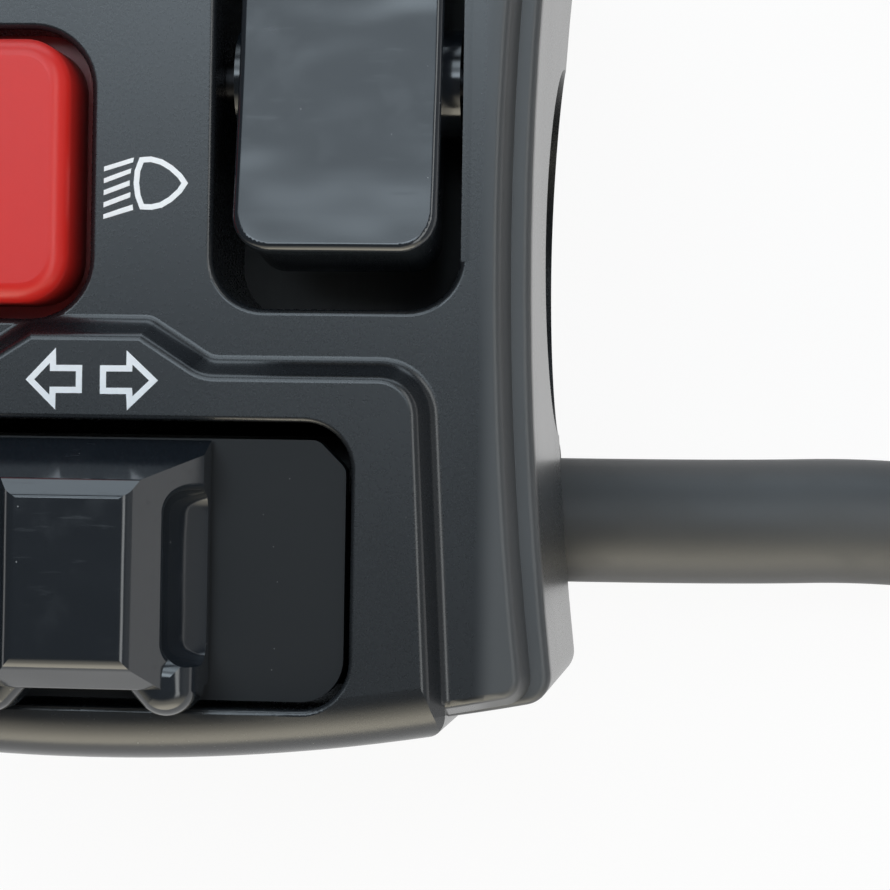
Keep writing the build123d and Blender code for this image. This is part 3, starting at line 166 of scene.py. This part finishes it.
# %% Signals and trees
class Signal:
    """One output socket of a tree, which can be used in sums."""

    def __init__(self, tree, socket):
        self.tree, self.socket = tree, socket

    def math(self, operation, other):
        return self.tree.node("ShaderNodeMath", {"operation": operation}, [self, other])

    def __add__(self, other):
        return self.math("ADD", other)

    def __mul__(self, other):
        return self.math("MULTIPLY", other)

    __radd__ = __add__
    __rmul__ = __mul__


class Tree:
    """A node tree that is filled node by node."""

    def __init__(self, node_tree):
        self.node_tree = node_tree

    def node(self, kind, settings=None, inputs=(), output=0):
        """Adds a node: its settings first, then its sockets, by name or in order."""
        new = self.node_tree.nodes.new(kind)
        for name, value in (settings or {}).items():
            setattr(new, name, value)
        pairs = inputs.items() if isinstance(inputs, dict) else enumerate(inputs)
        for key, value in pairs:
            self.feed(new.inputs[key], value)
        return Signal(self, new.outputs[output]) if new.outputs else None

    def feed(self, socket, value):
        if isinstance(value, Signal):
            self.node_tree.links.new(value.socket, socket)
        else:
            socket.default_value = value

    def ramp(self, value, low, high):
        """value turned smoothly from 0 at low to 1 at high."""
        return self.node(
            "ShaderNodeMapRange",
            {"interpolation_type": "SMOOTHSTEP"},
            {"Value": value, "From Min": low, "From Max": high},
        )


print("signals and trees ready")

# %% [markdown]
# ## Tent light
# The photograph was taken in a white tent: no hard shadows, soft bluish light from above the
# object and warmer light from below it in the picture. So the world is dim overhead and glows
# towards three sides, each in its own colour. Each glow is limited by ramps along X or Y of the
# direction, and all of them are added up. The camera itself sees plain white.

# %% Tent light
cool, plain, warm = (0.77, 0.90, 1.0, 1), (0.97, 1.0, 1.0, 1), (1.0, 0.93, 0.76, 1)
white = (1, 1, 1, 1)
overhead_colour, overhead_level = (0.93, 0.96, 1.0, 1), 0.085
between_sides = [("X", 0.20, 0.05), ("X", -0.55, -0.38)]
# Each glow's ramps, as axis, where it is gone and where it is full, then its level and colour
glows = [
    (between_sides + [("Y", 0.09, 0.16), ("Y", 0.75, 0.62)], 1.65, cool),
    (between_sides + [("Y", 0.11, 0.18), ("Y", 0.38, 0.24)], 3.5, cool),
    (between_sides + [("Y", 0.46, 0.54), ("Y", 0.75, 0.62)], 1.65, cool),
    ([("Y", 0.78, 0.92)], 2.25, cool),
    ([("X", 0.26, 0.42), ("X", 0.66, 0.54), ("Y", -0.60, -0.40), ("Y", 0.70, 0.50)], 3.1, plain),
    ([("X", 0.60, 0.90)], 0.3, plain),
    ([("Y", -0.45, -0.80)], 1.6, warm),
    ([("Y", -0.78, -0.96)], 2.2, warm),
]
world = bpy.data.worlds.new("tent")
scene.world = world
world.use_nodes = True
world.node_tree.nodes.clear()
tent = Tree(world.node_tree)
towards = tent.node("ShaderNodeTexCoord", output="Generated")
along = {axis: tent.node("ShaderNodeSeparateXYZ", {}, [towards], axis) for axis in "XY"}
light = tent.node("ShaderNodeBackground", {}, [overhead_colour, overhead_level])
for limits, strength, colour in glows:
    for axis, gone, full in limits:
        strength = strength * tent.ramp(along[axis], gone, full)
    side = tent.node("ShaderNodeBackground", {}, [colour, strength])
    light = tent.node("ShaderNodeAddShader", {}, [light, side])
plain_white = tent.node("ShaderNodeBackground", {}, [white])
to_camera = tent.node("ShaderNodeLightPath", output="Is Camera Ray")
shown = tent.node("ShaderNodeMixShader", {}, [to_camera, light, plain_white])
tent.node("ShaderNodeOutputWorld", {}, [shown])
print("tent light with", len(glows), "glows")

# %% [markdown]
# ## Table
# The table has to be white in the picture without more light on the object. So it glows for the
# camera and for rays that mirror or pass through the object. The rest of it is white paint, which
# keeps the object's shadow.

# %% Table
table_half, table_z = 3.0, cad_box[0].z
glowing_share = 0.92
table_mesh = bpy.data.meshes.new("table_top")
table_mesh.from_pydata(
    [
        (-table_half, -table_half, table_z),
        (table_half, -table_half, table_z),
        (table_half, table_half, table_z),
        (-table_half, table_half, table_z),
    ],
    [],
    [(0, 1, 2, 3)],
)
table_top = bpy.data.objects.new("table_top", table_mesh)
scene.collection.objects.link(table_top)

white_table = bpy.data.materials.new("white_table")
white_table.use_nodes = True
white_table.node_tree.nodes.clear()
table = Tree(white_table.node_tree)
paint = table.node("ShaderNodeBsdfDiffuse", {}, [(0.82, 0.82, 0.82, 1)])
glow = table.node("ShaderNodeEmission", {}, [white])
seen, mirrored, passed = (
    table.node("ShaderNodeLightPath", output=ray)
    for ray in ("Is Camera Ray", "Is Glossy Ray", "Is Transmission Ray")
)
share = seen.math("MAXIMUM", mirrored).math("MAXIMUM", passed) * glowing_share
surface = table.node("ShaderNodeMixShader", {}, [share, paint, glow])
table.node("ShaderNodeOutputMaterial", {}, [surface])
table_mesh.materials.append(white_table)
print("table at", round(table_z * 1000, 1), "mm")

# %% [markdown]
# ## A material as one object
# A Finish starts as plain plastic. Its methods give what the finishes here are made of: the place
# on the piece, soft noise, specks, a colour between two others, and a bump.

# %% Finish
class Finish(Tree):
    """A material that starts as plain plastic with the values given for its sockets."""

    def __init__(self, name, **values):
        self.material = bpy.data.materials.new(name)
        self.material.use_nodes = True
        super().__init__(self.material.node_tree)
        self.shader = self.node_tree.nodes["Principled BSDF"]
        for socket, value in values.items():
            self.shader.inputs[socket.replace("_", " ")].default_value = value

    def place(self):
        """The point on the piece, in metres, in the shared frame at rest."""
        return self.node("ShaderNodeTexCoord", output="Object")

    def place_along(self, axis):
        return self.node("ShaderNodeSeparateXYZ", {}, [self.place()], axis)

    def noise(self, per_metre, detail=3.0, roughness=0.55, seed=0.0, stretch=(1, 1, 1)):
        """Soft noise round a half; seed shifts it."""
        moved = self.node(
            "ShaderNodeMapping",
            {},
            {"Vector": self.place(), "Location": (seed, seed * 1.7, -seed), "Scale": stretch},
        )
        return self.node(
            "ShaderNodeTexNoise",
            {},
            {"Vector": moved, "Scale": per_metre, "Detail": detail, "Roughness": roughness},
        )

    def specks(self, per_metre, size, seed):
        """1 inside small scattered dots, such as dust, and 0 elsewhere."""
        moved = self.node(
            "ShaderNodeMapping", {}, {"Vector": self.place(), "Location": (seed, -seed, seed)}
        )
        near = self.node(
            "ShaderNodeTexVoronoi", {}, {"Vector": moved, "Scale": per_metre}, "Distance"
        )
        return near.math("LESS_THAN", size)

    def mix(self, share, first, second):
        """A colour between first and second."""
        return self.node(
            "ShaderNodeMix", {"data_type": "RGBA"}, {0: share, 6: first, 7: second}, output=2
        )

    def bump(self, height, strength, distance):
        """Normals from a height, to feed Normal."""
        return self.node(
            "ShaderNodeBump", {}, {"Height": height, "Strength": strength, "Distance": distance}
        )

    def set(self, name, value):
        self.feed(self.shader.inputs[name], value)

    def tell(self):
        print(self.material.name, "is made of", len(self.node_tree.nodes), "shader nodes")


def grey(level, blue=0.0):
    """A near neutral colour, with a little more blue where asked."""
    return (level, level * (1 + 0.4 * blue), level * (1 + blue), 1)


print("finishes can be mixed")

# %% [markdown]
# ## Housing plastic
# The halves are moulded in black plastic with a fine satin spark finish. At this scale the eye
# sees four things: a very fine grain, a slow change of sheen where hands have rubbed it, specks
# of dust, and stepped sides that are rougher, so that light spreads softly over them. Grain goes
# into the bump, sheen into the roughness and dust into the colour. The stepped sides are also
# painted a lighter grey, which is a painted reflection of the bright tent beside them.

# %% Housing plastic
housing_black = Finish("housing_black", Specular_IOR_Level=0.68)
rubbed = housing_black.noise(55, detail=2.0, roughness=0.5, seed=0.3)
grain = housing_black.noise(5200, detail=2.0, roughness=0.6, seed=1.1)
clouds = housing_black.noise(160, roughness=0.6, seed=2.0)
dust = housing_black.specks(900, 0.035, 0.4) * housing_black.ramp(clouds, 0.45, 0.62)
off_centre = housing_black.node(
    "ShaderNodeMath", {"operation": "ABSOLUTE"}, [housing_black.place_along("X")]
)
height = housing_black.place_along("Z")
# Mask of the stepped sides: it makes them rougher, and it paints a lighter grey there as painted
# reflection.
matt_sides_painted_sheen = housing_black.ramp(off_centre, 0.0199, 0.0212) * housing_black.ramp(
    height, 0.0215, 0.0234
)
plastic = housing_black.mix(clouds, grey(0.008, 0.40), grey(0.012, 0.45))
# Painted reflection: a lighter grey that stands in for the sheen on the stepped sides.
painted_side_sheen = housing_black.mix(clouds, grey(0.034, 0.20), grey(0.048, 0.15))
housing_black.set(
    "Base Color",
    housing_black.mix(
        dust * 0.35, housing_black.mix(matt_sides_painted_sheen, plastic, painted_side_sheen), grey(0.28, 0.05)
    ),
)
housing_black.set(
    "Roughness", 0.21 + 0.07 * rubbed + 0.05 * grain + dust * 0.25 + 0.17 * matt_sides_painted_sheen
)
housing_black.set("Normal", housing_black.bump(grain + 0.35 * clouds, 0.10, 0.00002))
housing_black.tell()

# %% [markdown]
# ## Glossy black
# The rocker and the thumb knob are moulded in a polished tool. Their faces aren't quite flat, so
# the tent's reflection runs in soft waves. A slow noise in the bump does that, and hair-fine
# scratches and a few greasy patches in the roughness keep them from looking like glass.

# %% Glossy black
gloss_black = Finish("gloss_black", Specular_IOR_Level=0.68, IOR=1.5)
waves = gloss_black.noise(150, detail=1.0, roughness=0.4, seed=0.7, stretch=(1.0, 1.7, 1.0))
scratches = gloss_black.noise(2600, detail=2.0, roughness=0.7, seed=3.1, stretch=(0.12, 1.0, 1.0))
grease = gloss_black.ramp(gloss_black.noise(260, roughness=0.6, seed=5.0), 0.52, 0.72)
gloss_dust = gloss_black.specks(700, 0.03, 1.9)
gloss_black.set(
    "Base Color",
    gloss_black.mix(gloss_dust * 0.5, grey(0.012, 0.6), grey(0.25, 0.05)),
)
gloss_black.set(
    "Roughness",
    0.13 + 0.10 * grease + 0.08 * gloss_black.ramp(scratches, 0.60, 0.70) + gloss_dust * 0.3,
)
gloss_black.set("Normal", gloss_black.bump(waves + 0.004 * scratches, 0.35, 0.0004))
gloss_black.tell()

# %% [markdown]
# ## Red button
# The cap is through-coloured red plastic with a soft polish. Its middle is rubbed a little
# brighter by thumbs. Low on its sides the colour is painted darker with depth, as painted shade of
# the gap round the cap.

# %% Red button
button_red = Finish("button_red", Specular_IOR_Level=0.50)
# Painted shade: this ramp darkens the cap low on its sides, where the gap round it is in shade.
painted_shade_fades_up_cap = button_red.ramp(button_red.place_along("Z"), 0.0245, 0.0278)
patches = button_red.noise(130, seed=0.9)
fine = button_red.noise(4200, detail=2.0, roughness=0.6, seed=2.2)
button_red.set(
    "Base Color",
    button_red.mix(
        painted_shade_fades_up_cap,
        # The dark red of the painted shade.
        (0.22, 0.006, 0.005, 1),
        button_red.mix(patches, (0.58, 0.014, 0.010, 1), (0.65, 0.019, 0.014, 1)),
    ),
)
button_red.set("Roughness", 0.30 + 0.10 * patches + 0.05 * fine)
button_red.set("Normal", button_red.bump(fine + 2.0 * patches, 0.12, 0.00003))
button_red.tell()

# %% [markdown]
# ## Inset plate
# The plate under the knob has the same black in a flatter, darker finish, polished in streaks
# along the knob's path.

# %% Inset plate
plate_black = Finish("plate_black", Specular_IOR_Level=0.34)
streaks = plate_black.noise(900, roughness=0.6, seed=0.5, stretch=(0.08, 1.0, 1.0))
plate_grain = plate_black.noise(6000, detail=2.0, roughness=0.6, seed=1.4)
plate_dust = plate_black.specks(800, 0.03, 2.6)
plate_black.set(
    "Base Color", plate_black.mix(plate_dust * 0.4, grey(0.005, 0.6), grey(0.22, 0.04))
)
plate_black.set("Roughness", 0.40 + 0.08 * streaks + 0.04 * plate_grain)
plate_black.set("Normal", plate_black.bump(plate_grain + 0.5 * streaks, 0.08, 0.00002))
plate_black.tell()

# %% [markdown]
# ## Cable sleeve and soft rubber
# The sleeve is a soft vinyl tube with a matt skin: fine pores, faint die lines along it and
# chalky rubbed patches. The grommet and the plug's boot are softer and darker rubber.

# %% Cable sleeve and soft rubber
sleeve_vinyl = Finish("sleeve_vinyl", Specular_IOR_Level=0.9)
chalk = sleeve_vinyl.ramp(sleeve_vinyl.noise(210, detail=4.0, roughness=0.6, seed=4.0), 0.42, 0.75)
pores = sleeve_vinyl.noise(3600, roughness=0.65, seed=0.2)
sleeve_vinyl.set(
    "Base Color", sleeve_vinyl.mix(chalk * 0.5, grey(0.015, 0.25), grey(0.030, 0.08))
)
sleeve_vinyl.set("Roughness", 0.50 + 0.10 * chalk + 0.06 * pores)
sleeve_vinyl.set("Normal", sleeve_vinyl.bump(pores + chalk * 0.6, 0.16, 0.00004))
sleeve_vinyl.tell()

soft_rubber = Finish("soft_rubber", Specular_IOR_Level=0.4)
bloom = soft_rubber.ramp(soft_rubber.noise(300, roughness=0.6, seed=6.0), 0.4, 0.8)
skin = soft_rubber.noise(4000, roughness=0.6, seed=1.0)
soft_rubber.set("Base Color", soft_rubber.mix(bloom, grey(0.016, 0.1), grey(0.040, 0.0)))
soft_rubber.set("Roughness", 0.62 + 0.12 * bloom)
soft_rubber.set("Normal", soft_rubber.bump(skin, 0.2, 0.00004))
soft_rubber.tell()

# %% [markdown]
# ## Metals
# Screws are zinc plated and a little dull, springs are drawn wire, the rocker's pins are blackened
# steel, and contacts and inserts are brass. All of them share one recipe: brushed streaks in the
# roughness, and slow tarnish in the colour.

# %% Metals
def metal(name, bright, dull, smooth, stretch, seed):
    """A worn metal between two colours."""
    made = Finish(name, Metallic=1.0)
    tarnish = made.ramp(made.noise(420, detail=4.0, roughness=0.6, seed=seed), 0.38, 0.72)
    brushed = made.noise(3800, roughness=0.6, seed=seed + 1, stretch=stretch)
    made.set("Base Color", made.mix(tarnish, bright, dull))
    made.set("Roughness", smooth + 0.14 * tarnish + 0.10 * brushed)
    made.set("Normal", made.bump(brushed, 0.12, 0.00003))
    made.tell()
    return made


zinc = metal("zinc_plate", (0.66, 0.66, 0.65, 1), (0.46, 0.46, 0.45, 1), 0.24, (1, 0.2, 1), 1.0)
spring_wire = metal(
    "spring_wire", (0.60, 0.60, 0.60, 1), (0.42, 0.41, 0.40, 1), 0.22, (1, 1, 0.3), 2.0
)
black_oxide = metal(
    "black_oxide", (0.05, 0.05, 0.055, 1), (0.03, 0.03, 0.03, 1), 0.34, (1, 1, 1), 4.0
)
brass = metal("brass", (0.80, 0.60, 0.28, 1), (0.52, 0.36, 0.17, 1), 0.20, (0.2, 1, 1), 3.0)

# %% [markdown]
# ## Insulating boards and nylon
# The contacts sit on black moulded boards, whose filler shows as short fibres. The slider, the
# plunger and the plug are undyed nylon, which is milky and takes a faint yellow tint; the tie is
# black nylon.

# %% Insulating boards and nylon
board_black = Finish("board_black")
fibres = board_black.noise(2400, detail=4.0, roughness=0.7, seed=0.6, stretch=(1, 0.15, 1))
sheets = board_black.noise(500, detail=2.0, roughness=0.5, seed=1.6, stretch=(0.2, 0.2, 4.0))
board_black.set("Base Color", board_black.mix(fibres, grey(0.010, 0.1), grey(0.022, 0.0)))
board_black.set("Roughness", 0.48 + 0.18 * sheets)
board_black.set("Normal", board_black.bump(fibres, 0.2, 0.00003))
board_black.tell()


def nylon(name, fresh, aged, seed):
    """Satin nylon between two colours, with the faint flow marks of moulding."""
    made = Finish(name)
    flow = made.noise(240, roughness=0.6, seed=seed, stretch=(1, 0.4, 1))
    matt = made.noise(3600, detail=2.0, roughness=0.6, seed=seed + 1)
    made.set("Base Color", made.mix(flow, fresh, aged))
    made.set("Roughness", 0.36 + 0.16 * flow + 0.05 * matt)
    made.set("Normal", made.bump(matt + 2.0 * flow, 0.12, 0.00003))
    made.tell()
    return made


milky_nylon = nylon("milky_nylon", (0.76, 0.75, 0.70, 1), (0.66, 0.63, 0.54, 1), 2.0)
black_nylon = nylon("black_nylon", grey(0.022, 0.1), grey(0.040, 0.0), 7.0)

# %% [markdown]
# ## Finishes onto the solids
# Each solid keeps its own shape and only changes its material, so a table of finishes and the
# names of their solids is enough. The cable is a curve, and gets the sleeve's vinyl by itself.

# %% Finishes onto the solids
finish_of = {
    housing_black: ["front_shell", "rear_shell"],
    gloss_black: ["dimmer_rocker", "turn_knob"],
    button_red: ["red_button"],
    plate_black: ["turn_plate"],
    soft_rubber: ["cable_grommet", "connector_boot"],
    sleeve_vinyl: ["cable_inner_end"],
    zinc: ["clamp_screws", "base_screws", "knob_screw", "detent_ball"],
    black_oxide: ["rocker_pins"],
    spring_wire: ["button_spring", "plunger_spring", "detent_spring"],
    brass: [
        "clamp_inserts",
        "button_contact",
        "button_terminals",
        "dimmer_contact",
        "dimmer_terminals",
        "turn_contact",
        "turn_terminals",
        "connector_pins",
    ],
    board_black: ["button_base", "dimmer_base", "turn_base"],
    milky_nylon: ["rocker_plunger", "turn_carriage", "connector_housing"],
    black_nylon: ["cable_tie"],
}
for finish, names in finish_of.items():
    for name in names:
        for used in nodes[name].material_slots:
            used.material = finish.material
curve.materials.append(sleeve_vinyl.material)
print("finishes on", sum(len(names) for names in finish_of.values()), "of the part's nodes")

# %% [markdown]
# ## Button spring
# The return spring shortens as the button goes down. The imported solid is hidden, and a copy of
# it with a mesh of its own is shown in its place. A imported solid can't do that, so a copy of it
# is shown.

# %% Button spring
packed_spring = nodes["button_spring"]
shown_spring = bpy.data.objects.new("return_spring", packed_spring.data.copy())
shown_spring.matrix_world = packed_spring.matrix_world.copy()
scene.collection.objects.link(shown_spring)
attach(shown_spring, "housing")
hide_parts("button_spring")
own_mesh(shown_spring)

# %% [markdown]
# ## Painted signs
# The lamp sign and the two turn arrows are printed in white on the housing. The paint is a little
# uneven in colour and sheen, as pad printing is.

# %% White paint
sign_white = Finish("sign_white")
ink = sign_white.noise(2600, roughness=0.6, seed=0.8)
sign_white.set("Base Color", sign_white.mix(ink, (0.82, 0.84, 0.88, 1), (0.94, 0.95, 0.97, 1)))
sign_white.set("Roughness", 0.34 + 0.14 * ink)
sign_white.set("Normal", sign_white.bump(ink, 0.15, 0.00002))
sign_white.tell()

# %% [markdown]
# ## Strokes of paint
# A picture of the signs would be flat, so each stroke is a thin film of paint with real thickness,
# laid on the surface it is printed on. The arrows and the lamp are closed outlines of even width,
# so each is made from one line by moving it inwards.

# %% Strokes of paint
paint_film = 0.00004
millimetre = 0.001


def inset(outline, width):
    """The closed outline moved inwards by width, its corners kept sharp."""
    moved = []
    for i, here in enumerate(outline):
        before = (here - outline[i - 1]).normalized()
        after = (outline[(i + 1) % len(outline)] - here).normalized()
        inward = Vector((-before.y - after.y, before.x + after.x)).normalized()
        moved.append(here + inward * width / max(0.3, inward.dot(Vector((-before.y, before.x)))))
    return moved


def film(name, loops, z):
    """Paint between pairs of loops, one pair for each stroke, on the height z."""
    mesh = bmesh.new()
    for outer, inner in loops:
        rings = [
            [mesh.verts.new((p.x * millimetre, p.y * millimetre, level)) for p in ring]
            for level in (z - paint_film, z + paint_film)
            for ring in (outer, inner)
        ]
        for i in range(len(outer)):
            j = (i + 1) % len(outer)
            for a, b in ((0, 2), (2, 3), (3, 1), (1, 0)):
                mesh.faces.new((rings[a][i], rings[a][j], rings[b][j], rings[b][i]))
    bmesh.ops.recalc_face_normals(mesh, faces=mesh.faces)
    data = bpy.data.meshes.new(name)
    mesh.to_mesh(data)
    mesh.free()
    data.materials.append(sign_white.material)
    made = bpy.data.objects.new(name, data)
    scene.collection.objects.link(made)
    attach(made, "housing")
    return made


def bar(left_low, right_low, right_high, left_high):
    """A solid stroke: a narrow loop round its own middle line."""
    outer = [Vector(p) for p in (left_low, right_low, right_high, left_high)]
    left = (outer[0] + outer[3]) / 2
    right = (outer[1] + outer[2]) / 2
    return outer, [left, right, right, left]


print("strokes are", paint_film * 2000, "mm thick")

# %% [markdown]
# ## Signs
# The outlines are in millimetres, as seen on the face: two arrows on the raised panel, and on the
# face above it the general sign for dipped beam, a lamp with five slanted bars.

# %% Signs
plateau_z, panel_z = 0.0255, 0.0270
stroke = 0.33
lamp_stroke = 0.9 * stroke
left_arrow = [
    (-3.93, -8.86), (-2.31, -10.44), (-2.30, -9.56), (-0.89, -9.55),
    (-0.89, -8.06), (-2.30, -8.07), (-2.32, -7.16),
]
right_arrow = [
    (3.19, -8.83), (1.49, -7.26), (1.48, -8.05), (0.07, -8.06),
    (0.08, -9.58), (1.50, -9.57), (1.55, -10.43),
]
for name, points in (("left_turn_sign", left_arrow), ("right_turn_sign", right_arrow)):
    edge = [Vector(p) for p in points]
    film(name, [(edge, inset(edge, stroke))], panel_z)

lens_back = [(1.71, 3.11), (1.46, 2.42), (1.40, 1.74), (1.50, 1.02), (1.77, 0.33)]
lens_front = [
    (2.40, 0.31), (2.95, 0.43), (3.50, 0.76), (4.00, 1.22), (4.35, 1.75),
    (4.00, 2.24), (3.50, 2.68), (2.95, 3.00), (2.35, 3.16),
]
lamp_edge = [Vector(p) for p in lens_back + lens_front]
bars = [
    ((-0.21, 2.35), (1.35, 2.84), (1.40, 3.10), (-0.21, 2.60)),
    ((-0.21, 1.71), (1.23, 2.26), (1.27, 2.52), (-0.21, 1.97)),
    ((-0.21, 1.07), (1.19, 1.60), (1.19, 1.88), (-0.21, 1.34)),
    ((-0.21, 0.42), (1.23, 0.97), (1.24, 1.25), (-0.21, 0.69)),
    ((-0.21, -0.20), (1.40, 0.30), (1.36, 0.59), (-0.21, 0.05)),
]
film(
    "dipped_beam_sign",
    [(lamp_edge, inset(lamp_edge, lamp_stroke))] + [bar(*corners) for corners in bars],
    plateau_z,
)
print("signs painted")

# %% [markdown]
# ## Sizes
# The visible model has to fill the same box as the solids.

# %% Sizes
bpy.context.view_layer.update()
